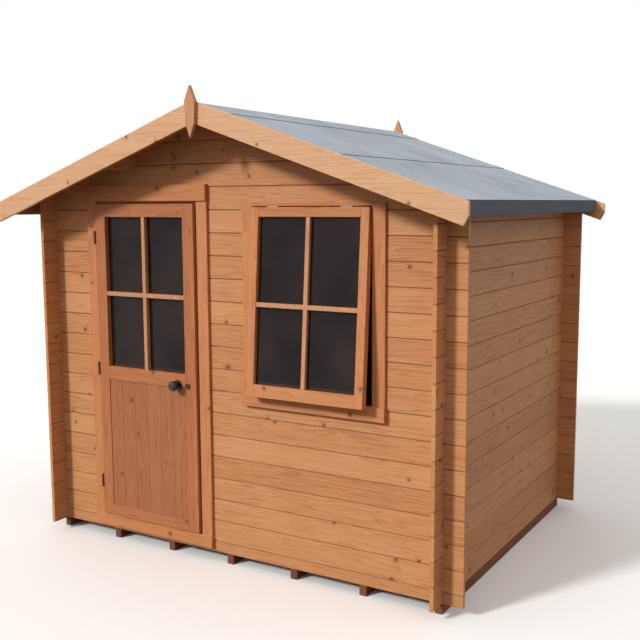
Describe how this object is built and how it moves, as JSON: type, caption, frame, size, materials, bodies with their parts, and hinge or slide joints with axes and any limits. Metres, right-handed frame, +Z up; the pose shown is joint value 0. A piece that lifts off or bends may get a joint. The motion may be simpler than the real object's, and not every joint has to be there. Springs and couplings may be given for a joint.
{
  "type": "garden_log_cabin",
  "caption": "Small garden log cabin with interlocking board logs, an apex felt roof with barge boards and finials, a half-glazed door and a window",
  "frame": {"origin": "Middle of the overall footprint, on the ground under the bearers", "axes": "+X right along the front, +Y from the front to the rear, +Z up"},
  "size_m": [2.744, 2.203, 2.391],
  "materials": {
    "stained_log_wood": "translucent brown stain on planed spruce",
    "stained_trim_wood": "translucent stain on planed spruce",
    "pale_pine": "planed pine under a clear coat",
    "treated_bearer_wood": "rough sawn, pressure treated",
    "bare_spruce": "bare planed spruce",
    "window_glass": "clear float glass",
    "mineral_felt": "bitumen felt with grey mineral grit",
    "black_iron": "black lacquer",
    "galvanised_steel": "dull zinc plate",
    "brown_steel": "brown lacquer on pressed steel"
  },
  "bodies": {
    "cabin": {"bearers": "treated_bearer_wood", "floor_boards": "bare_spruce", "front_wall_even_logs": "stained_log_wood", "front_wall_odd_logs": "stained_log_wood", "rear_wall_even_logs": "stained_log_wood", "rear_wall_odd_logs": "stained_log_wood", "side_walls_even_logs": "stained_log_wood", "side_walls_odd_logs": "stained_log_wood", "door_lining": "stained_log_wood", "door_threshold": "treated_bearer_wood", "door_side_trims": "stained_trim_wood", "door_head_board": "stained_trim_wood", "door_inner_trim": "bare_spruce", "door_hinge_fixed_leaves": "brown_steel", "window_lining": "stained_log_wood", "window_side_trims": "stained_trim_wood", "window_sill_board": "stained_trim_wood", "window_head_strip": "stained_trim_wood", "window_inner_trim": "bare_spruce", "sash_stiles": "stained_trim_wood", "sash_rails": "stained_trim_wood", "sash_glazing_bars": "pale_pine", "sash_glazing_beads": "stained_trim_wood", "sash_glass": "window_glass", "sash_hinges": "galvanised_steel", "sash_stay": "galvanised_steel", "purlins": "bare_spruce", "roof_boards": "bare_spruce", "eaves_battens": "bare_spruce", "felt_lower_strips": "mineral_felt", "felt_upper_strips": "mineral_felt", "felt_ridge_strip": "mineral_felt", "barge_boards": "pale_pine", "finials": "pale_pine"},
    "door": {"door_stiles": "stained_trim_wood", "door_rails": "stained_trim_wood", "door_panel_boards": "stained_trim_wood", "door_glazing_bars": "pale_pine", "door_glazing_beads": "stained_trim_wood", "door_glass": "window_glass", "door_hinge_moving_leaves": "brown_steel", "door_lock_case": "galvanised_steel", "door_plates": "black_iron"},
    "knob": {"door_knob": "black_iron"}
  },
  "joints": [
    {"name": "door_hinge", "type": "hinge", "parent": "cabin", "child": "door", "pos_m": [-0.8405, -0.8815, 1], "axis": [0, 0, -1], "range_deg": [0, 105]},
    {"name": "knob_turn", "type": "hinge", "parent": "door", "child": "knob", "pos_m": [-0.294, -0.9, 0.918], "axis": [0, -1, 0], "range_deg": [-45, 45], "stiffness_Nm_per_rad": 0.4}
  ]
}
